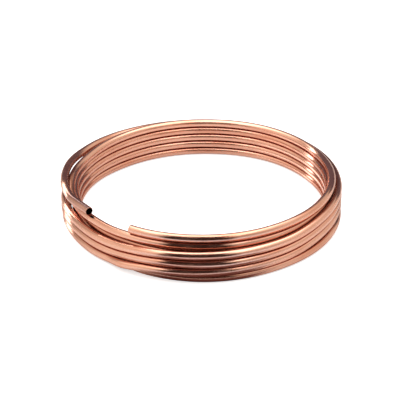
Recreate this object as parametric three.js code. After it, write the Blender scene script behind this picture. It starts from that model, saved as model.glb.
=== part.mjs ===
// A coil of soft copper tube, lying flat, wound from one length. The tube starts at the top of
// the inner layer, winds down to the floor, crosses outward there under the outer layer, and
// climbs back up round the outside, so that both ends lie on top of the coil.
// Millimetres, +Z up. The origin is on the floor, under the middle of the coil's outline.

import * as THREE from 'three';

// The tube
const TUBE_DIAMETER = 10;
const TUBE_WALL = 0.7;

// The coil
const INNER_LAYER_RADIUS = 156;      // to the middle of the tube
const TURN_CLEARANCE = 0.3;          // left between turns that lie on each other
const INNER_TURNS = 5;
const OUTER_TURNS = 4;
const START_TURN = -0.09;            // where the inner end lies, in turns from the front
const LAST_TURN = 0.843;             // how far round the top turn the outer end lies

// Facets
const TUBE_SIDES = 12;
const BORE_SIDES = 8;
const STEPS_PER_TURN = 32;

// Turns that lie on each other are one pitch apart. A mark says where the middle of the tube is:
// at is how far round it is, in turns anticlockwise from the front, out is in pitches outward
// from the inner layer's radius, and up is in pitches above a turn that lies on the floor.
// Where the turns of a layer part from each other, a mark lists them from the floor up.
const PITCH = TUBE_DIAMETER + TURN_CLEARANCE;

// One turn of the inner layer. In the front it rides in the notch beside the turn that crosses,
// and just before that the second turn from the floor has slipped off the lowest one.
const INNER_TURN = [
  { at: 0, out: 0.17, up: 0.53 },
  { at: 0.1, out: [-0.24, -0.2, -0.16, -0.12, -0.08], up: 0.42 },
  { at: 0.17, out: [-0.2, -0.2, -0.2, -0.2, 0.04], up: 0.42 },
  { at: 0.25, out: [-0.2, -0.2, -0.2, -0.2, 0.06], up: 0.32 },
  { at: 0.33, out: [0.1, 0.05, 0.02, -0.06, 0.1], up: 0 },
  { at: 0.41, out: [0.28, 0.22, 0.16, 0.1, 0.04], up: 0 },
  { at: 0.5, out: [0.03, -0.03, -0.09, -0.15, -0.21], up: 0 },
  { at: 0.61, out: [-0.03, -0.08, -0.13, -0.18, -0.23], up: 0 },
  { at: 0.68, out: [0.17, 0.09, -0.02, 0, -0.14], up: 0 },
  { at: 0.74, out: [0.08, 0.07, 0.16, 0.26, 0.41], up: [0, 0.01, 0, -0.02, -0.02] },
  { at: 0.785, out: [0.13, -0.43, 0.03, 0.12, 0.68], up: [0, -0.09, -0.2, -0.18, -0.36] },
  { at: 0.83, out: [-0.04, -0.9, -0.12, -0.1, 0.4], up: [0, -0.47, -0.62, -0.6, -0.67] },
  { at: 0.865, out: [-0.13, -1.13, -0.15, -0.15, 0.17], up: [0, -0.72, -0.72, -0.72, -0.72] },
  { at: 0.91, out: [0.44, -1.13, -0.15, -0.12, 0.17], up: [0, -0.65, -0.55, -0.55, -0.55] },
];

// One turn of the outer layer. It starts in the front, where it has just climbed a level.
const OUTER_TURN = [
  { at: 0, out: 1.39, up: -0.05 },
  { at: 0.09, out: 0.97, up: 0.02 },
  { at: 0.17, out: 0.82, up: 0.37 },
  { at: 0.25, out: 0.84, up: 0.42 },
  { at: 0.36, out: 1.2, up: 0.1 },
  { at: 0.41, out: 1.3, up: 0 },
  { at: 0.5, out: 1.08, up: 0 },
  { at: 0.75, out: 1.4, up: 0 },
  { at: 0.85, out: 0.97, up: 0.03 },
  { at: 0.89, out: 0.93, up: 0.18 },
  { at: 0.92, out: 1.12, up: 0.54 },
  { at: 0.957, out: 1.4, up: 0.92 },
];

// The lowest outer turn, which comes from under the others on the floor.
const CROSSING = [
  { at: -0.075, out: 0.72, up: 0 },
  { at: -0.043, out: 0.9, up: 0 },
  { at: 0, out: 1.03, up: 0 },
  { at: 0.1, out: 0.8, up: 0 },
  { at: 0.17, out: 0.86, up: 0 },
  { at: 0.25, out: 0.84, up: 0 },
  { at: 0.33, out: 1.14, up: 0 },
  { at: 0.41, out: 1.32, up: 0 },
  { at: 0.5, out: 1.1, up: 0 },
  { at: 0.75, out: 1.3, up: 0 },
  { at: 0.85, out: 1.03, up: 0 },
  { at: 0.885, out: 1.08, up: 0.17 },
  { at: 0.91, out: 1.47, up: 0.45 },
  { at: 0.935, out: 1.46, up: 0.75 },
  { at: 0.965, out: 1.49, up: 0.89 },
];

// The top outer turn, which rises to lie across the inner layer and ends there.
const LAST_RISE = [
  { at: 0, out: 1.34, up: 0 },
  { at: 0.09, out: 0.97, up: 0.03 },
  { at: 0.17, out: 0.82, up: 0.38 },
  { at: 0.25, out: 0.84, up: 0.43 },
  { at: 0.41, out: 1.15, up: 0.2 },
  { at: 0.58, out: 0.91, up: 0.58 },
  { at: 0.667, out: 0.99, up: 1.03 },
  { at: 0.733, out: 1.29, up: 1.45 },
  { at: 0.768, out: 1.37, up: 1.45 },
  { at: 0.803, out: 1.2, up: 1.32 },
  { at: 0.82, out: 0.86, up: 1.3 },
  { at: LAST_TURN, out: 0.53, up: 1.28 },
];

// Marks of one turn, placed on its turn and at its level.
function placed(marks, turn, level) {
  const here = (value) => (Array.isArray(value) ? value[level] : value);
  return marks.map(({ at, out, up }) => (
    { turn: turn + at, out: here(out), up: level + here(up) }
  ));
}

function windingMarks() {
  const marks = [{ turn: START_TURN, out: 0.2, up: INNER_TURNS - 0.55 }];
  for (let turn = 0; turn < INNER_TURNS; turn++) {
    marks.push(...placed(INNER_TURN, turn, INNER_TURNS - 1 - turn));
  }
  marks.push(...placed(CROSSING, INNER_TURNS, 0));
  for (let level = 1; level < OUTER_TURNS - 1; level++) {
    marks.push(...placed(OUTER_TURN, INNER_TURNS + level, level));
  }
  marks.push(...placed(LAST_RISE, INNER_TURNS + OUTER_TURNS - 1, OUTER_TURNS - 1));
  return marks;
}

// The smooth line through the marks: a cubic between each two, which never overshoots them.
function smoothThrough(marks, key) {
  const slopes = marks.map((mark, i) => {
    if (i === 0 || i === marks.length - 1) return 0;
    const before = (mark[key] - marks[i - 1][key]) / (mark.turn - marks[i - 1].turn);
    const after = (marks[i + 1][key] - mark[key]) / (marks[i + 1].turn - mark.turn);
    return before * after <= 0 ? 0 : 2 * before * after / (before + after);
  });
  return (turn) => {
    let i = marks.findIndex((mark) => mark.turn >= turn) - 1;
    if (i === -2) i = marks.length - 2;
    i = Math.max(0, Math.min(marks.length - 2, i));
    const span = marks[i + 1].turn - marks[i].turn;
    const t = (turn - marks[i].turn) / span;
    const rise = marks[i + 1][key] - marks[i][key];
    return marks[i][key] + rise * t * t * (3 - 2 * t)
      + span * t * (1 - t) * (slopes[i] * (1 - t) - slopes[i + 1] * t);
  };
}

const marks = windingMarks();
const outAt = smoothThrough(marks, 'out');
const upAt = smoothThrough(marks, 'up');

// The middle line of the tube. Its sections stand upright at the same places in every turn, so
// that the flat sides of neighbouring turns face each other.
class LaidTube extends THREE.Curve {
  constructor(firstTurn, lastTurn) {
    super();
    this.turns = [firstTurn];
    for (let k = Math.floor(firstTurn * STEPS_PER_TURN) + 1; k < lastTurn * STEPS_PER_TURN; k++) {
      this.turns.push(k / STEPS_PER_TURN);
    }
    this.turns.push(lastTurn);
  }

  pointAtTurn(turn) {
    const azimuth = (turn - 0.25) * 2 * Math.PI;
    const radius = INNER_LAYER_RADIUS + outAt(turn) * PITCH;
    const height = TUBE_DIAMETER / 2 + upAt(turn) * PITCH;
    return new THREE.Vector3(radius * Math.cos(azimuth), radius * Math.sin(azimuth), height);
  }

  getSpacedPoints() {
    return this.turns.map((turn) => this.pointAtTurn(turn));
  }

  computeFrenetFrames() {
    const tangents = [];
    const normals = [];
    const binormals = [];
    for (const turn of this.turns) {
      const azimuth = (turn - 0.25) * 2 * Math.PI;
      tangents.push(new THREE.Vector3(-Math.sin(azimuth), Math.cos(azimuth), 0));
      normals.push(new THREE.Vector3(-Math.cos(azimuth), -Math.sin(azimuth), 0));
      binormals.push(new THREE.Vector3(0, 0, 1));
    }
    return { tangents, normals, binormals };
  }
}

// A polygon with a flat side at the bottom. Its flat sides touch the circle.
function polygonRound(radius, sides) {
  const points = [];
  for (let i = 0; i < sides; i++) {
    const angle = -Math.PI / 2 + (i + 0.5) * 2 * Math.PI / sides;
    const corner = radius / Math.cos(Math.PI / sides);
    points.push(new THREE.Vector2(corner * Math.cos(angle), corner * Math.sin(angle)));
  }
  return points;
}

function tubeGeometry(curve) {
  const section = new THREE.Shape(polygonRound(TUBE_DIAMETER / 2, TUBE_SIDES));
  section.holes.push(new THREE.Path(polygonRound(TUBE_DIAMETER / 2 - TUBE_WALL, BORE_SIDES)));
  return new THREE.ExtrudeGeometry(section, {
    steps: curve.turns.length - 1,
    extrudePath: curve,
    curveSegments: 1,
  });
}

const copper = new THREE.MeshStandardMaterial({ color: 0xc77b58, roughness: 0.2, metalness: 1 });

const coil = new LaidTube(START_TURN, INNER_TURNS + OUTER_TURNS - 1 + LAST_TURN);
const tube = new THREE.Mesh(tubeGeometry(coil), copper);
tube.name = 'copper_tube';

// The turns aren't a true circle, so the origin is set under the middle of their outline.
const middle = new THREE.Box3().setFromObject(tube).getCenter(new THREE.Vector3());
tube.position.set(-middle.x, -middle.y, 0);

const part = new THREE.Group();
part.add(tube);
export default part;
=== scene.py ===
# %% [markdown]
# # A coil of soft copper tube
# This lesson dresses a coil of copper tube. The packed model already holds the coil as a solid
# with a twelve-sided section. Here the same winding is made again as a round, smooth tube, it
# gets a drawn copper finish, and it is lit in the way that shiny metal is lit for a catalogue.

# %% Load the packed model
import math

import bpy
import numpy as np
from mathutils import Matrix, Vector
from mathutils.kdtree import KDTree


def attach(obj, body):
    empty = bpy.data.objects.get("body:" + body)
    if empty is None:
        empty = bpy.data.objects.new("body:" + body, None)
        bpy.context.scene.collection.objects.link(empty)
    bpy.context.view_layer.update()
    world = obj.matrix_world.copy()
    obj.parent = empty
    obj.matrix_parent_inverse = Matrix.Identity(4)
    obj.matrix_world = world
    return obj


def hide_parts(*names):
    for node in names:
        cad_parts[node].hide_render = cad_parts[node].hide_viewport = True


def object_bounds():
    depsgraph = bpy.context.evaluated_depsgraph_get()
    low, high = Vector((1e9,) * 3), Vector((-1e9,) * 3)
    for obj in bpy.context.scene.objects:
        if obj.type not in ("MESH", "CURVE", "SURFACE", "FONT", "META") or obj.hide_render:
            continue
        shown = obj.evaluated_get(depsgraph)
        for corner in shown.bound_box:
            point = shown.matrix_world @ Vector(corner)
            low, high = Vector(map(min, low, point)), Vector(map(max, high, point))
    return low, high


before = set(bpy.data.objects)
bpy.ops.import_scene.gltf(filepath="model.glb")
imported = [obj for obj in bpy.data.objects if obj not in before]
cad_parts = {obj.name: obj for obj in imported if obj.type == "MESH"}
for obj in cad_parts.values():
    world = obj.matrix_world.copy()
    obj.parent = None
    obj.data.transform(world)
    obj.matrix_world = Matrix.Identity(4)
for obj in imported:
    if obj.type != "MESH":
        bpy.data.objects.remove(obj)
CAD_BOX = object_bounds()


def rounded(lengths):
    """Lengths in metres, to a hundredth of a millimetre, for a print."""
    return [round(length, 5) for length in lengths]


print("nodes:", sorted(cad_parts))
print("box:", rounded(CAD_BOX[0]), rounded(CAD_BOX[1]))

# %% [markdown]
# ## The tube
# Soft copper tube is sold by its outside diameter. This one is 10 mm tube with a thin wall. Turns
# that lie on each other touch, so they are a diameter apart. The solid keeps them a hair further
# apart, and the same distance is used here, so that both have one winding.

# %% Sizes of the tube and its coil, in metres
TUBE_RADIUS = 0.005
TUBE_WALL = 0.0007
BORE_RADIUS = TUBE_RADIUS - TUBE_WALL
TURN_CLEARANCE = 0.0003
PITCH = 2 * TUBE_RADIUS + TURN_CLEARANCE
INNER_LAYER_RADIUS = 0.156
print("pitch: %.1f mm, bore: %.1f mm" % (1000 * PITCH, 2000 * BORE_RADIUS))

# %% Turns, counted anticlockwise from the front
INNER_TURNS = 5
OUTER_TURNS = 4
START_TURN = -0.09  # where the inner end lies
LAST_TURN = 0.843  # how far round the top turn the outer end lies
print("layers of", INNER_TURNS, "and", OUTER_TURNS, "turns")

# %% [markdown]
# ## How the tube is wound
# The coil has an inner layer and an outer layer. The tube winds down the inner one, crosses
# outward on the floor and climbs back up the outer one. A helix from a formula would look
# machine-made: a hand-wound coil climbs, slips and crosses where the winder let it. So the
# winding is written as marks along the tube, one list for each kind of turn. A mark is (at, out,
# up): how far round it is in turns from the front, how far out from the inner layer and how far
# up from its own level, both in pitches. A loop then lays the kinds of turn on each other. Where
# the turns of a layer part from each other, a mark lists them from the floor up.

# %% Marks of the inner layer
INNER_TURN = [
    (0, 0.17, 0.53),
    (0.1, [-0.24, -0.2, -0.16, -0.12, -0.08], 0.42),
    (0.17, [-0.2, -0.2, -0.2, -0.2, 0.04], 0.42),
    (0.25, [-0.2, -0.2, -0.2, -0.2, 0.06], 0.32),
    (0.33, [0.1, 0.05, 0.02, -0.06, 0.1], 0),
    (0.41, [0.28, 0.22, 0.16, 0.1, 0.04], 0),
    (0.5, [0.03, -0.03, -0.09, -0.15, -0.21], 0),
    (0.61, [-0.03, -0.08, -0.13, -0.18, -0.23], 0),
    (0.68, [0.17, 0.09, -0.02, 0, -0.14], 0),
    (0.74, [0.08, 0.07, 0.16, 0.26, 0.41], [0, 0.01, 0, -0.02, -0.02]),
    (0.785, [0.13, -0.43, 0.03, 0.12, 0.68], [0, -0.09, -0.2, -0.18, -0.36]),
    (0.83, [-0.04, -0.9, -0.12, -0.1, 0.4], [0, -0.47, -0.62, -0.6, -0.67]),
    (0.865, [-0.13, -1.13, -0.15, -0.15, 0.17], [0, -0.72, -0.72, -0.72, -0.72]),
    (0.91, [0.44, -1.13, -0.15, -0.12, 0.17], [0, -0.65, -0.55, -0.55, -0.55]),
]
INNER_END = (START_TURN, 0.2, INNER_TURNS - 0.55)
print("marks in an inner turn:", len(INNER_TURN))

# %% Marks of the outer layer
OUTER_TURN = [
    (0, 1.39, -0.05), (0.09, 0.97, 0.02), (0.17, 0.82, 0.37), (0.25, 0.84, 0.42), (0.36, 1.2, 0.1),
    (0.41, 1.3, 0), (0.5, 1.08, 0), (0.75, 1.4, 0), (0.85, 0.97, 0.03), (0.89, 0.93, 0.18),
    (0.92, 1.12, 0.54), (0.957, 1.4, 0.92),
]
CROSSING = [
    (-0.075, 0.72, 0), (-0.043, 0.9, 0), (0, 1.03, 0), (0.1, 0.8, 0), (0.17, 0.86, 0),
    (0.25, 0.84, 0), (0.33, 1.14, 0), (0.41, 1.32, 0), (0.5, 1.1, 0), (0.75, 1.3, 0),
    (0.85, 1.03, 0), (0.885, 1.08, 0.17), (0.91, 1.47, 0.45), (0.935, 1.46, 0.75),
    (0.965, 1.49, 0.89),
]
LAST_RISE = [
    (0, 1.34, 0), (0.09, 0.97, 0.03), (0.17, 0.82, 0.38), (0.25, 0.84, 0.43), (0.41, 1.15, 0.2),
    (0.58, 0.91, 0.58), (0.667, 0.99, 1.03), (0.733, 1.29, 1.45), (0.768, 1.37, 1.45),
    (0.803, 1.2, 1.32), (0.82, 0.86, 1.3), (LAST_TURN, 0.53, 1.28),
]
print("marks in the outer turns:", len(CROSSING), len(OUTER_TURN), len(LAST_RISE))


# %% Lay the turns on each other
def placed(marks, turn, level):
    """Marks of one turn, on its turn and at its level, as (turn, out, up)."""
    def here(value):
        return value[level] if isinstance(value, list) else value
    return [(turn + at, here(out), level + here(up)) for at, out, up in marks]


def winding_marks():
    """All marks from the inner end to the outer end: down, across on the floor and up again."""
    marks = [INNER_END]
    for turn in range(INNER_TURNS):
        marks += placed(INNER_TURN, turn, INNER_TURNS - 1 - turn)
    marks += placed(CROSSING, INNER_TURNS, 0)
    for level in range(1, OUTER_TURNS - 1):
        marks += placed(OUTER_TURN, INNER_TURNS + level, level)
    marks += placed(LAST_RISE, INNER_TURNS + OUTER_TURNS - 1, OUTER_TURNS - 1)
    return np.array(marks)


MARKS = winding_marks()
END_TURN = MARKS[-1, 0]
print("marks:", len(MARKS), "from turn", START_TURN, "to", END_TURN)

# %% [markdown]
# ## A smooth line through the marks
# Blender's own curves could pass through the marks, but a spline that overshoots its points would
# push turns into each other. This cubic takes a slope at each mark that never overshoots, so a
# turn that lies flat between two marks stays flat.


# %% The smooth line
def mark_slopes(at, value):
    step = np.diff(value) / np.diff(at)
    slopes = np.zeros(len(at))
    same_way = step[:-1] * step[1:] > 0
    before = step[:-1][same_way]
    after = step[1:][same_way]
    slopes[1:-1][same_way] = 2 * before * after / (before + after)
    return slopes


def smooth_through(at, value, turns):
    slopes = mark_slopes(at, value)
    i = np.clip(np.searchsorted(at, turns) - 1, 0, len(at) - 2)
    span = at[i + 1] - at[i]
    t = (turns - at[i]) / span
    rise = value[i + 1] - value[i]
    bend = span * t * (1 - t) * (slopes[i] * (1 - t) - slopes[i + 1] * t)
    return value[i] + rise * t * t * (3 - 2 * t) + bend


step_up = np.array([0, 1])
print("a quarter of the way up a step of 1:", smooth_through(step_up, step_up, 0.25))

# %% The middle of the tube
FRONT_BEFORE_X = 0.25  # the front lies a quarter turn before +X


def middle_line(turns):
    """Points on the middle of the tube, in metres, before the coil is moved over its origin."""
    azimuth = (turns - FRONT_BEFORE_X) * 2 * np.pi
    radius = INNER_LAYER_RADIUS + PITCH * smooth_through(MARKS[:, 0], MARKS[:, 1], turns)
    height = TUBE_RADIUS + PITCH * smooth_through(MARKS[:, 0], MARKS[:, 2], turns)
    return np.stack([radius * np.cos(azimuth), radius * np.sin(azimuth), height], axis=1)


print("front of the inner layer:", middle_line(np.array([0.0])).round(4))

# %% The tube's length
FINE_STEPS = 20000

fine_turns = np.linspace(START_TURN, END_TURN, FINE_STEPS + 1)
fine_steps = np.linalg.norm(np.diff(middle_line(fine_turns), axis=0), axis=1)
fine_length = np.concatenate([[0], np.cumsum(fine_steps)])
TUBE_LENGTH = fine_length[-1]


def line_at(along):
    """Points on the middle of the tube, at distances along it."""
    return middle_line(np.interp(along, fine_length, fine_turns))


print("tube length: %.3f m in %.2f turns" % (TUBE_LENGTH, END_TURN - START_TURN))

# %% [markdown]
# ## Rings along the tube
# A curve with a round bevel would be quicker, but it has no wall and no bore. So the mesh is a
# chain of rings: out along the outside, over the cut end, back through the bore and over the
# other end. Each next ring is joined to the last by four-sided faces, and the chain closes on
# itself, so there is no hole and no face inside the wall. A tube cutter rolls the edge in a
# little before it parts, so the outside closes in over the last millimetre and a half. The burr
# inside is scraped off.

# %% Stations and radii of the rings, in metres
OUTSIDE_STEP = 0.0042
BORE_STEP = 0.016

# Near an end, a pair is how far a ring is from it and how much smaller than the tube or the bore.
CUT_EDGE = [(0.0014, 0), (0.0007, 0.00004), (0.0003, 0.00012), (0.0001, 0.0002), (0, 0.0003)]
SCRAPED_EDGE = [(0, -0.00008), (0.0002, 0)]


def evenly(first, last, step):
    return np.linspace(first, last, int(round((last - first) / step)) + 1)


def ring_chain():
    """(distance along the tube, radius) of each ring, once round the whole wall."""
    cut = [(away, TUBE_RADIUS - less) for away, less in CUT_EDGE]
    scraped = [(away, BORE_RADIUS - less) for away, less in SCRAPED_EDGE]
    outside = evenly(cut[0][0], TUBE_LENGTH - cut[0][0], OUTSIDE_STEP)[1:-1]
    bore = evenly(scraped[-1][0], TUBE_LENGTH - scraped[-1][0], BORE_STEP)[1:-1]
    chain = list(reversed(cut))
    chain += [(along, TUBE_RADIUS) for along in outside]
    chain += [(TUBE_LENGTH - away, radius) for away, radius in cut + scraped]
    chain += [(along, BORE_RADIUS) for along in reversed(bore)]
    chain += reversed(scraped)
    return np.array(chain)


rings = ring_chain()
print("rings:", len(rings))

# %% [markdown]
# ## The round tube
# Each ring stands square to the line, with one axis outward and one upward. Axes that follow the
# line from ring to ring would slowly turn; these never twist. Every point also keeps where it
# would lie if the tube were straight again: its distance along the tube, and how far outward and
# upward it is from the middle. The finish needs that.


# %% Directions of the rings
LOOK_AHEAD = 0.0005


def unit(vectors):
    return vectors / np.linalg.norm(vectors, axis=1)[:, None]


def directions_at(along):
    """The directions outward and upward, square to the line, at distances along the tube."""
    ahead = line_at(np.minimum(along + LOOK_AHEAD, TUBE_LENGTH))
    behind = line_at(np.maximum(along - LOOK_AHEAD, 0))
    tangent = unit(ahead - behind)
    outward = unit(np.cross(tangent, [0, 0, 1]))
    return outward, np.cross(outward, tangent)


print("outward at the inner end:", directions_at(np.zeros(1))[0].round(3))

# %% Points and faces of the rings
RING_SIDES = 32


def straight_points():
    """The points of each ring as if the tube were straight: (along, outward, upward)."""
    along, radius = rings.T
    angle = np.arange(RING_SIDES) * 2 * np.pi / RING_SIDES
    outward = radius[:, None] * np.cos(angle)
    upward = radius[:, None] * np.sin(angle)
    return np.stack([np.broadcast_to(along[:, None], outward.shape), outward, upward], axis=2)


def wound_points(straight):
    """The same points once the tube is wound."""
    along = straight[:, 0, 0]
    outward, upward = directions_at(along)
    points = line_at(along)[:, None] + straight[..., 1:2] * outward[:, None]
    return points + straight[..., 2:3] * upward[:, None]


def ring_faces():
    """Four-sided faces from each ring to the next, and from the last back to the first."""
    ring = np.arange(len(rings))[:, None] * RING_SIDES
    next_ring = np.roll(ring, -1, axis=0)
    side = np.arange(RING_SIDES)[None]
    next_side = (side + 1) % RING_SIDES
    corners = [ring + side, next_ring + side, next_ring + next_side, ring + next_side]
    return np.stack(corners, axis=2).reshape(-1, 4)


print("faces:", len(ring_faces()))


# %% The round tube as a mesh
def tube_mesh(name):
    straight = straight_points()
    points = wound_points(straight).reshape(-1, 3)
    mesh = bpy.data.meshes.new(name)
    mesh.from_pydata(points.tolist(), [], ring_faces().tolist())
    laid_out = mesh.attributes.new("straight_tube", "FLOAT_VECTOR", "POINT")
    laid_out.data.foreach_set("vector", straight.astype(np.float32).ravel())
    mesh.shade_smooth()
    return mesh


wound = tube_mesh("wound_copper_tube")
print("points:", len(wound.vertices), "faces:", len(wound.polygons))

# %% [markdown]
# ## Where turns touch
# The grooves between two turns are rougher, and the shade that falls in them is painted into the
# copper's colour. An ambient occlusion node could find them too, but it would also darken the tube
# where it lies on the floor. So the mesh measures the grooves itself: each point looks for the
# nearest middle line of another turn, and keeps how far that turn's surface is away.

# %% Distance to the next turn
NEIGHBOUR_STEP = 0.004
NEIGHBOUR_REACH = 2.2 * TUBE_RADIUS
NO_NEIGHBOUR = 1.0
HALF_A_TURN = np.pi * INNER_LAYER_RADIUS  # places closer along the tube are on one turn


def gap_to_next_turn(mesh):
    walk = evenly(0, TUBE_LENGTH, NEIGHBOUR_STEP)
    tree = KDTree(len(walk))
    for i, point in enumerate(line_at(walk)):
        tree.insert(point, i)
    tree.balance()
    place = mesh.attributes["straight_tube"].data
    nearest = np.full(len(mesh.vertices), NO_NEIGHBOUR, dtype=np.float32)
    for vertex in mesh.vertices:
        along = place[vertex.index].vector.x
        for _, i, distance in tree.find_range(vertex.co, NEIGHBOUR_REACH):
            if abs(walk[i] - along) > HALF_A_TURN:
                nearest[vertex.index] = min(nearest[vertex.index], distance - TUBE_RADIUS)
    return nearest


gaps = gap_to_next_turn(wound)
wound.attributes.new("gap_to_next_turn", "FLOAT", "POINT").data.foreach_set("value", gaps)
print("points near another turn:", int((gaps < NO_NEIGHBOUR).sum()))

# %% [markdown]
# ## The coil in its place
# The winding isn't a true circle, so it is moved until its box has the same middle as the
# solid's. The round tube reaches a few hundredths of a millimetre past the flat-sided one at the
# front and back, and is made that much narrower, so that it stays inside the solid's box.

# %% Put the coil over its origin
coil = bpy.data.objects.new("wound_copper_tube", wound)
bpy.context.scene.collection.objects.link(coil)
points = np.array([vertex.co for vertex in wound.vertices])
low = points.min(axis=0)
high = points.max(axis=0)
shift = Vector(((CAD_BOX[0].x + CAD_BOX[1].x - low[0] - high[0]) / 2,
                (CAD_BOX[0].y + CAD_BOX[1].y - low[1] - high[1]) / 2, 0))
fit = [min(1, (CAD_BOX[1][i] - CAD_BOX[0][i]) / (high[i] - low[i])) for i in range(3)]
wound.transform(Matrix.Diagonal((*fit, 1)) @ Matrix.Translation(shift))
print("moved by", rounded(shift), "fitted by", rounded(fit))

# %% [markdown]
# ## Shader maths as Python
# A node tree is easier to read as sums. A wire stands for one output of a node, and adding or
# multiplying wires adds the Math node that does it. Every other node comes from one method.


# %% Wires and the board they are on
class Wire:
    """One output of a shader node."""

    def __init__(self, board, socket):
        self.board = board
        self.socket = socket

    def maths(self, operation, first, second):
        return self.board.node("ShaderNodeMath", {"operation": operation}, {0: first, 1: second})

    def __add__(self, other):
        return self.maths("ADD", self, other)

    def __radd__(self, other):
        return self.maths("ADD", other, self)

    def __sub__(self, other):
        return self.maths("SUBTRACT", self, other)

    def __rsub__(self, other):
        return self.maths("SUBTRACT", other, self)

    def __mul__(self, other):
        return self.maths("MULTIPLY", self, other)

    def __rmul__(self, other):
        return self.maths("MULTIPLY", other, self)

    def __abs__(self):
        return self.board.node("ShaderNodeMath", {"operation": "ABSOLUTE"}, {0: self})


class Board:
    """A material's or the world's node tree."""

    def __init__(self, tree):
        self.tree = tree
        tree.nodes.clear()

    def node(self, kind, settings=None, values=None, output=0):
        made = self.tree.nodes.new(kind)
        for name, setting in (settings or {}).items():
            setattr(made, name, setting)
        for name, value in (values or {}).items():
            if isinstance(value, Wire):
                self.tree.links.new(value.socket, made.inputs[name])
            else:
                made.inputs[name].default_value = value
        return Wire(self, made.outputs[output]) if made.outputs else None

    def above(self, value, low, high):
        """0 below low and 1 above high, with a soft rise between them."""
        settings = {"interpolation_type": "SMOOTHSTEP"}
        values = {"Value": value, "From Min": low, "From Max": high}
        return self.node("ShaderNodeMapRange", settings, values)

    def below(self, value, low, high):
        """1 below low and 0 above high, with a soft fall between them."""
        return 1 - self.above(value, low, high)

    def within(self, value, rise, fall):
        """1 between a soft rise and a soft fall, and 0 outside them."""
        return self.above(value, *rise) * self.below(value, *fall)

    def part(self, vector, axis):
        """One number of a vector: 0 for x, 1 for y and 2 for z."""
        return self.node("ShaderNodeSeparateXYZ", None, {0: vector}, output=axis)

    def scaled(self, vector, scale):
        """The vector with each of its numbers scaled by itself."""
        settings = {"operation": "MULTIPLY"}
        return self.node("ShaderNodeVectorMath", settings, {0: vector, 1: scale})

    def mix(self, factor, first, second):
        values = {"Factor": factor, 6: first, 7: second}
        return self.node("ShaderNodeMix", {"data_type": "RGBA"}, values, output=2)


def new_board(owner):
    """The cleared board of a material or of the world."""
    owner.use_nodes = True
    return Board(owner.node_tree)


print("a board can make:", [name for name in vars(Board) if not name.startswith("_")])

# %% [markdown]
# ## Marks in drawn copper
# The tube was pulled through a die, so all its fine marks run along it. A noise read in plain
# space would cut across the turns. So it is read where the tube would lie if it were straight
# again, and that space is squeezed lengthwise, which makes long thin marks. Handling leaves soft
# smudges, and air turns bright copper a little browner in patches.
#
# A noise lies around a half. Two values of it, where a mask begins and where it is whole, say how
# much of the tube a mark covers and how soft its edge is.

# %% Colours of the copper
BRIGHT_COPPER = (0.96, 0.57, 0.44, 1)
TARNISHED_COPPER = (0.78, 0.34, 0.22, 1)
# The groove colour is painted shade: the dark that falls between two turns.
GROOVE_SHADE_COLOUR = (0.26, 0.03, 0.006, 1)
HANDLED_COPPER = (0.30, 0.18, 0.17, 1)
BORE_COPPER = (0.30, 0.13, 0.08, 1)
print("bright copper:", BRIGHT_COPPER[:3], "in a groove:", GROOVE_SHADE_COLOUR[:3])

# %% Marks along the tube
# Waves per metre along the tube and across it, and how many finer layers of noise lie on top.
DRAW_MARKS = (9, 1800, 2)
TARNISH_PATCHES = (14, 90, 3)
SMUDGES = (45, 160, 4)
WAVES = (60, 60, 1)
STREAKS = (6, 420, 2)


def marks_in_copper(board, straight, kind):
    along, across, detail = kind
    squeezed = board.scaled(straight, (along, across, across))
    values = {"Vector": squeezed, "Scale": 1, "Detail": detail}
    return board.node("ShaderNodeTexNoise", None, values)


print("a draw mark is about", DRAW_MARKS[1] // DRAW_MARKS[0], "times as long as it is wide")

# %% Tarnish
PATCH_EDGE = (0.42, 0.75)
DARK_MARK_EDGE = (0.4, 0.75)
PATCH_SHARE = 0.7


def tarnished(board, straight, draw_marks):
    patches = board.above(marks_in_copper(board, straight, TARNISH_PATCHES), *PATCH_EDGE)
    dark_marks = board.above(draw_marks, *DARK_MARK_EDGE)
    tarnish = patches * PATCH_SHARE + dark_marks * (1 - PATCH_SHARE)
    return board.mix(tarnish, BRIGHT_COPPER, TARNISHED_COPPER)


print("share of the patches in the tarnish:", PATCH_SHARE)

# %% [markdown]
# ## The outer end
# The last few centimetres before the outer end are what hands hold and a cutter clamps. They are
# duller and greyer than the rest, in streaks. A second material could begin there, but its edge
# would be a clean line round the tube. A mask in the same finish can fade in raggedly.

# %% Dull copper at the outer end, in metres before the cut
HANDLED_BEGINS = 0.055
HANDLED_WHOLE = 0.015
HANDLED_RAGGED = 0.03
STREAK_EDGE = (0.42, 0.58)
DULL_BETWEEN_STREAKS = 0.35


def handled_end(board, straight, smudges):
    """How dull the copper is: 0 along the coil, and up to 1 in the streaks at the outer end."""
    along = board.part(straight, 0) + smudges * HANDLED_RAGGED
    near_end = board.above(along, TUBE_LENGTH - HANDLED_BEGINS, TUBE_LENGTH - HANDLED_WHOLE)
    streaks = board.above(marks_in_copper(board, straight, STREAKS), *STREAK_EDGE)
    return near_end * (DULL_BETWEEN_STREAKS + (1 - DULL_BETWEEN_STREAKS) * streaks)


print("dull from", 1000 * HANDLED_BEGINS, "mm before the outer end")
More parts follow.
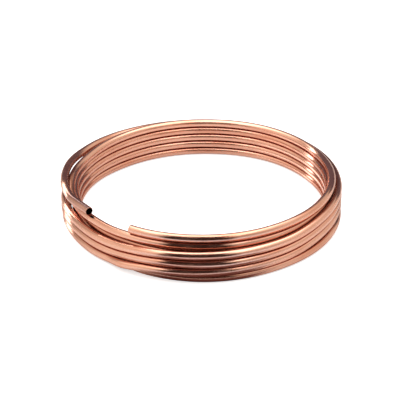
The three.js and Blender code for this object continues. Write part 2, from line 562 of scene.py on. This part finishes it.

# %% [markdown]
# ## Painted shade between the turns
# The shade between the turns is painted into the copper's colour. The bottom of a groove is nearly
# black, the valley that leads down to it is brown, and the underside of a turn is painted darker
# further out, where it mirrors the floor close by and the turn below. The two layers are also
# painted darker where they face each other: on the sides that nearly touch, high on a shoulder,
# and on a side across a wide notch. This could be painted by hand, but nine metres of it would
# take
# long. So each is a mask of two distances: the gap to the next turn, and the height above the
# tube's middle.

# %% Where the painted shade lies, in metres
# Over each pair a mask changes softly. A gap with two pairs has a rise and a fall.
GROOVE_GAP = (0.0003, 0.0008)
GROOVE_RAGGED = 0.0003
VALLEY_GAP = (0.0006, 0.0020)
UNDERSIDE_HEIGHT = (-0.0042, -0.0008)
UNDERSIDE_GAP = (0.0010, 0.0055)
SIDE_HEIGHT = (0.0024, 0.0034)
SIDE_GAP = (0.0014, 0.0042)
SHOULDER_HEIGHT = (0.0040, 0.0046)
SHOULDER_GAP = ((0.0022, 0.0032), (0.0050, 0.0068))
NOTCH_HEIGHT = (0.0008, 0.0016)
NOTCH_GAP = ((0.0028, 0.0036), (0.0044, 0.0052))


# Masks of the places where shade is painted into the colour.
def shaded_places(board, gap, height):
    off_middle = abs(height)
    return {
        "underside": board.below(height, *UNDERSIDE_HEIGHT) * board.below(gap, *UNDERSIDE_GAP),
        "valley": board.below(gap, *VALLEY_GAP),
        "side": board.below(off_middle, *SIDE_HEIGHT) * board.below(gap, *SIDE_GAP),
        "shoulder": board.above(height, *SHOULDER_HEIGHT) * board.within(gap, *SHOULDER_GAP),
        "notch": board.below(off_middle, *NOTCH_HEIGHT) * board.within(gap, *NOTCH_GAP),
    }


print("a groove is darkest up to %.1f mm from the next turn" % (1000 * GROOVE_GAP[0]))

# %% How dark the painted shade is, from 0 to 1
GROOVE_SHADE_DEPTH = 0.95
SHADE_STRENGTH = {"underside": 0.85, "valley": 0.5, "side": 0.5, "shoulder": 0.45, "notch": 0.6}


def groove_mask(board, gap, draw_marks):
    return board.below(gap + draw_marks * GROOVE_RAGGED, *GROOVE_GAP)


def painted_shade_between_turns(board, gap, height, groove):
    """How much painted shade darkens the copper, from 0 on a crown to nearly 1 in a groove."""
    unshaded = 1 - groove * GROOVE_SHADE_DEPTH
    for place, mask in shaded_places(board, gap, height).items():
        unshaded = unshaded * (1 - mask * SHADE_STRENGTH[place])
    return 1 - unshaded


# The places where shade is painted.
print("shaded places:", sorted(SHADE_STRENGTH))

# %% [markdown]
# ## The copper finish
# One shader holds it all. Copper is a metal, so its colour is the colour of its reflections.
# Drawn metal also spreads a reflection across its marks more than along them. The anisotropic
# setting does that. Its own direction runs round the upright axis, as the turns do, so it gets a
# quarter turn to lie across them. The marks and small waves are hundredths of a millimetre high
# at most. Real relief would need a far finer mesh for them, so they are a bump, which is enough
# to break up a highlight.

# %% Colour, roughness and relief of the copper
BORE_EDGE = (BORE_RADIUS + 0.0001, BORE_RADIUS + 0.0002)
SMUDGE_EDGE = (0.4, 0.8)
SMOOTHEST = 0.13
ROUGHER = {"smudge": 0.12, "draw mark": 0.05, "groove": 0.12}
DRAW_MARK_HEIGHT = 0.000004
WAVE_HEIGHT = 0.00002
SPREAD = 0.9
ACROSS_THE_TURNS = 0.25


def darker_bore(board, straight, colour):
    section = board.scaled(straight, (0, 1, 1))
    radius = board.node("ShaderNodeVectorMath", {"operation": "LENGTH"}, {0: section}, output=1)
    return board.mix(board.above(radius, *BORE_EDGE), BORE_COPPER, colour)


def copper_roughness(board, smudges, draw_marks, groove):
    roughness = SMOOTHEST + board.above(smudges, *SMUDGE_EDGE) * ROUGHER["smudge"]
    return roughness + draw_marks * ROUGHER["draw mark"] + groove * ROUGHER["groove"]


def copper_relief(board, straight, draw_marks):
    waves = marks_in_copper(board, straight, WAVES)
    height = draw_marks * DRAW_MARK_HEIGHT + waves * WAVE_HEIGHT
    return board.node("ShaderNodeBump", None, {"Height": height, "Strength": 1.0, "Distance": 1.0})


print("roughness from", SMOOTHEST, "to %.2f" % (SMOOTHEST + sum(ROUGHER.values())))


# %% The finish on the tube
def copper_finish():
    material = bpy.data.materials.new("drawn_copper")
    board = new_board(material)
    straight = board.node("ShaderNodeAttribute", {"attribute_name": "straight_tube"}, output=1)
    gap = board.node("ShaderNodeAttribute", {"attribute_name": "gap_to_next_turn"}, output=2)
    draw_marks = marks_in_copper(board, straight, DRAW_MARKS)
    smudges = marks_in_copper(board, straight, SMUDGES)
    groove = groove_mask(board, gap, draw_marks)
    painted_shade = painted_shade_between_turns(board, gap, board.part(straight, 2), groove)
    colour = tarnished(board, straight, draw_marks)
    colour = board.mix(handled_end(board, straight, smudges), colour, HANDLED_COPPER)
    # Painted shade: the copper darkens towards the groove colour between and under the turns.
    colour = board.mix(painted_shade, colour, GROOVE_SHADE_COLOUR)
    shader = board.node("ShaderNodeBsdfPrincipled", None, {
        "Base Color": darker_bore(board, straight, colour),
        "Roughness": copper_roughness(board, smudges, draw_marks, groove),
        "Normal": copper_relief(board, straight, draw_marks),
        "Metallic": 1.0,
        "Anisotropic": SPREAD,
        "Anisotropic Rotation": ACROSS_THE_TURNS,
    })
    board.node("ShaderNodeOutputMaterial", None, {"Surface": shader})
    return material


wound.materials.append(copper_finish())
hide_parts("copper_tube")
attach(coil, "root")
print("finish:", wound.materials[0].name, "of", len(wound.materials[0].node_tree.nodes), "nodes")

# %% [markdown]
# ## The floor
# The coil lies on a plain white sheet that runs out of view on every side. A lamp under a glass
# table would give such a white floor in a studio. Here the sheet glows a little by itself, which
# keeps it white right up to the coil. The same kind of sheet makes the cards further down, so it
# can also be polished and can fade out towards its edges: each corner keeps its place on the
# sheet, from -1 to 1, and the fade is read from that.


# %% Sheets and paper
def plain_sheet(name, corners):
    mesh = bpy.data.meshes.new(name)
    mesh.from_pydata(corners, [], [(0, 1, 2, 3)])
    place = mesh.attributes.new("sheet_place", "FLOAT_VECTOR", "POINT")
    place.data.foreach_set("vector", [-1, -1, 0, 1, -1, 0, 1, 1, 0, -1, 1, 0])
    sheet = bpy.data.objects.new(name, mesh)
    bpy.context.scene.collection.objects.link(sheet)
    return sheet


def faded_edges(board, fades):
    """1 inside and 0 at the edge. Each fade is a share of half the sheet's width or height."""
    place = board.node("ShaderNodeAttribute", {"attribute_name": "sheet_place"}, output=1)
    across, up = [board.below(abs(board.part(place, axis)), 1 - fades[axis], 1) for axis in (0, 1)]
    return up * across


def paper(name, colour, glow=0, fades=None, roughness=1.0):
    material = bpy.data.materials.new(name)
    board = new_board(material)
    values = {
        "Base Color": (*colour, 1),
        "Roughness": roughness,
        "Specular IOR Level": 1.0 if roughness < 1 else 0.0,
        "Emission Color": (1, 1, 1, 1),
        "Emission Strength": glow,
    }
    if fades:
        values["Alpha"] = faded_edges(board, fades)
    shader = board.node("ShaderNodeBsdfPrincipled", None, values)
    board.node("ShaderNodeOutputMaterial", None, {"Surface": shader})
    return material


def flat_corners(middle, half_x, half_y, z):
    x, y = middle
    return [(x - half_x, y - half_y, z), (x + half_x, y - half_y, z),
            (x + half_x, y + half_y, z), (x - half_x, y + half_y, z)]


print("corners of a metre square:", flat_corners((0, 0), 0.5, 0.5, 0))

# %% Floor
FLOOR_HALF_WIDTH = 4.0
FLOOR_WHITE = (0.82, 0.88, 0.96)
FLOOR_GLOW = 0.64

floor = plain_sheet("floor", flat_corners((0, 0), FLOOR_HALF_WIDTH, FLOOR_HALF_WIDTH, 0))
floor.data.materials.append(paper("white_sheet", FLOOR_WHITE, FLOOR_GLOW))
print("floor:", 2 * FLOOR_HALF_WIDTH, "m wide")

# %% [markdown]
# ## Lighting shiny metal
# Polished metal has no colour of its own to show: it shows the room. In a studio it stands in a
# tent of white cloth with dark cards inside, because only the dark gives it its lines. A panorama
# of a real room could be wrapped round the scene, but its lights couldn't be moved one by one. So
# the world is written as the tent: a warm white, with a brighter top and a brighter wall on the
# left and on the right.

# %% The tent
TENT_COLOUR = (1, 0.88, 0.76, 1)
TENT_LIGHT = 0.46

# The top adds light from where a direction's upward part reaches "begins", and all of it from
# "whole" on. For a wall, both say how squarely a direction faces its bearing, in degrees from +X.
BRIGHT_TOP = {"begins": 0.5, "whole": 0.85, "adds": 0.5}
BRIGHT_WALLS = [
    {"bearing": 194, "begins": 0.72, "whole": 0.98, "adds": 0.42},
    {"bearing": 16, "begins": 0.45, "whole": 0.98, "adds": 0.26},
]


def extra_light(board, value, bright):
    return board.above(value, bright["begins"], bright["whole"]) * bright["adds"]


def facing(board, level_way, bearing):
    wall = (math.cos(math.radians(bearing)), math.sin(math.radians(bearing)), 0)
    settings = {"operation": "DOT_PRODUCT"}
    return board.node("ShaderNodeVectorMath", settings, {0: level_way, 1: wall}, output=1)


def tent(world):
    board = new_board(world)
    way = board.node("ShaderNodeTexCoord")
    flat = board.scaled(way, (1, 1, 0))
    level_way = board.node("ShaderNodeVectorMath", {"operation": "NORMALIZE"}, {0: flat})
    light = TENT_LIGHT + extra_light(board, board.part(way, 2), BRIGHT_TOP)
    for wall in BRIGHT_WALLS:
        light = light + extra_light(board, facing(board, level_way, wall["bearing"]), wall)
    shader = board.node("ShaderNodeBackground", None, {"Color": TENT_COLOUR, "Strength": light})
    board.node("ShaderNodeOutputWorld", None, {"Surface": shader})


world = bpy.data.worlds.new("light_tent")
tent(world)
bpy.context.scene.world = world
print("tent:", TENT_LIGHT, "and", len(BRIGHT_WALLS), "brighter walls")

# %% [markdown]
# ## Softboxes
# A big softbox over the coil gives the crowns their white line. A strip of light leans at the
# back left, in the plane where the turns at the back right all mirror it, so that one bright band
# runs down across them. Point lamps would show in the metal as points, so both are area lamps. A
# lamp's power is its brightness times its area times pi. Brightness is what is set here, so a
# bigger lamp gives more light but looks no brighter in the metal.


# %% Softboxes
def softbox(name, place, aim, width, height, brightness):
    light = bpy.data.lights.new(name, "AREA")
    light.shape = "RECTANGLE"
    light.size = width
    light.size_y = height
    light.energy = brightness * width * height * math.pi
    box = bpy.data.objects.new(name, light)
    box.location = place
    box.rotation_euler = (Vector(aim) - Vector(place)).to_track_quat("-Z", "Y").to_euler()
    box.visible_camera = False
    bpy.context.scene.collection.objects.link(box)
    print(name, "of", width, "by", round(height, 2), "m")
    return box


def strip_between(name, low_end, high_end, aim, width, brightness):
    """A strip of light from one end to the other, turned about its length to face the aim."""
    span = Vector(high_end) - Vector(low_end)
    middle = (Vector(low_end) + Vector(high_end)) / 2
    strip = softbox(name, middle, aim, width, span.length, brightness)
    along = span.normalized()
    away = middle - Vector(aim)
    away = (away - along * away.dot(along)).normalized()
    strip.rotation_euler = Matrix((along.cross(away), along, away)).transposed().to_euler()


softbox("overhead_softbox", place=(0, 0, 1.2), aim=(0, 0, 0),
        width=1.4, height=1.6, brightness=1.3)
strip_between("leaning_strip", low_end=(-0.827, 0.364, 0), high_end=(-0.475, 0.905, 1),
              aim=(0.129, 0.072, 0.03), width=0.16, brightness=3.2)

# %% [markdown]
# ## Cards
# In a studio, cards stand just out of view, and the metal mirrors them. These may also stand in
# view, because only mirror rays see them: they cast no shadow and don't show themselves. A dark
# card stands close in front of the coil, a dark hood hangs over its front, and a dark card stands
# further out, in the opening that the camera looks through. Together they make the dark lines in
# the middle of the front. A grey card stands far behind the coil. More cards lie on the floor: a
# polished one under everything, a pale blue one in front, which is painted shade of the floor
# there, a dark one under the front edge, which is a painted shadow of the coil, and a short bright
# one at the back right, which carries the strip of light on down the lowest turns.


# %% Cards that only the metal sees
def card(name, corners, colour, fades, roughness=1.0, glow=0):
    sheet = plain_sheet(name, corners)
    sheet.data.materials.append(paper(name, colour, glow, fades, roughness))
    sheet.visible_camera = False
    sheet.visible_diffuse = False
    sheet.visible_shadow = False
    print(name, "from", rounded(corners[0]), "to", rounded(corners[2]))


def upright_corners(left, right, y, bottom, top):
    return [(left, y, bottom), (right, y, bottom), (right, y, top), (left, y, top)]


def strip_corners(start, end, half_width, z):
    """A strip that lies on the floor from one point to another."""
    along = (Vector(end) - Vector(start)).normalized() * half_width
    side = Vector((-along.y, along.x))
    edges = (Vector(start) + side, Vector(start) - side, Vector(end) - side, Vector(end) + side)
    return [(*edge, z) for edge in edges]


print("corners of a strip a metre long:", strip_corners((0, 0), (1, 0), 0.25, 0))

# %% Standing and hanging cards
NEAR_BLACK = (0.02, 0.008, 0.006)
BACK_GREY = (0.10, 0.08, 0.10)
NEAR_Y = CAD_BOX[0].y - 0.081

near = upright_corners(left=-0.14, right=0.12, y=NEAR_Y, bottom=0.006, top=0.13)
hood = flat_corners(middle=(-0.03, -0.29), half_x=0.21, half_y=0.09, z=0.34)
opening = upright_corners(left=-0.72, right=0.50, y=-1.0, bottom=0.48, top=1.45)
far_back = upright_corners(left=-0.95, right=1.4, y=1.0, bottom=0.002, top=0.75)
card("near_card", near, NEAR_BLACK, fades=(0.4, 0.25))
card("hood_card", hood, NEAR_BLACK, fades=(0.4, 0.3))
card("camera_card", opening, NEAR_BLACK, fades=(0.3, 0.2))
card("back_card", far_back, BACK_GREY, fades=(0.3, 0.3))

# %% Cards on the floor, each a fifth of a millimetre above the one before
LAYER = 0.0002
POLISHED_WHITE = (0.78, 0.78, 0.80)
# Painted shade: the floor in front of the coil as the metal would see it in shade.
SHADED_FLOOR_BLUE = (0.58, 0.69, 0.90)
PAPER_WHITE = (0.9, 0.9, 0.9)
# Painted shadow: the coil's own shadow on the floor under its front edge.
SHADOW_BROWN = (0.16, 0.08, 0.08)

under_all = flat_corners(middle=(0, 0), half_x=1.5, half_y=1.5, z=LAYER)
shaded_floor_in_front = flat_corners(middle=(0, -0.42), half_x=0.3, half_y=0.27, z=2 * LAYER)
front_edge_shadow = flat_corners(middle=(0.01, -0.18), half_x=0.12, half_y=0.03, z=3 * LAYER)
glint = strip_corners(start=(0.128, 0.078), end=(0.050, 0.123), half_width=0.006, z=4 * LAYER)
card("floor_card", under_all, POLISHED_WHITE, fades=(0.1, 0.1), roughness=0.08)
# Painted shade of the floor in front, lifted a little by its glow.
card("shaded_front_floor_card", shaded_floor_in_front, SHADED_FLOOR_BLUE, fades=(0.5, 0.3), roughness=0.15, glow=0.2)
card("glint_card", glint, PAPER_WHITE, fades=(0.6, 0.2), glow=1.6)
# Painted shadow under the front edge.
card("front_edge_card", front_edge_shadow, SHADOW_BROWN, fades=(0.6, 0.5))

# %% [markdown]
# ## The camera
# The camera stands in front and looks down by a little under 30 degrees. A wide lens close by
# would make the front turns look fat, so this is a long lens from two metres, which keeps the far
# side of the coil almost as wide as the near side. The lens is also shifted a little, which moves
# the coil in the frame without turning the camera.

# %% Camera
RENDER_PIXELS = 400
FOCAL_PIXELS = 1597
PRINCIPAL_POINT = (204.05, 193.8)
SENSOR_WIDTH = 36
LOOK_DOWN = math.radians(28.58)
DISTANCE = 1.96627
AIM = Vector((0.000515, -0.00309, 0.02575))


def add_camera():
    data = bpy.data.cameras.new("camera")
    data.sensor_width = SENSOR_WIDTH
    data.lens = FOCAL_PIXELS * SENSOR_WIDTH / RENDER_PIXELS
    data.shift_x = (RENDER_PIXELS / 2 - PRINCIPAL_POINT[0]) / RENDER_PIXELS
    data.shift_y = (PRINCIPAL_POINT[1] - RENDER_PIXELS / 2) / RENDER_PIXELS
    data.clip_start = 0.05
    data.clip_end = 50
    camera = bpy.data.objects.new("camera", data)
    forward = Vector((0, math.cos(LOOK_DOWN), -math.sin(LOOK_DOWN)))
    camera.location = AIM + shift - forward * DISTANCE
    camera.rotation_euler = (math.pi / 2 - LOOK_DOWN, 0, 0)
    bpy.context.scene.collection.objects.link(camera)
    bpy.context.scene.camera = camera
    print("camera at", rounded(camera.location), "lens %.1f mm" % data.lens)


add_camera()
bpy.context.scene.view_settings.view_transform = "Standard"

# %% [markdown]
# ## The solid's box
# The dressed coil has to stay inside the solid's box.
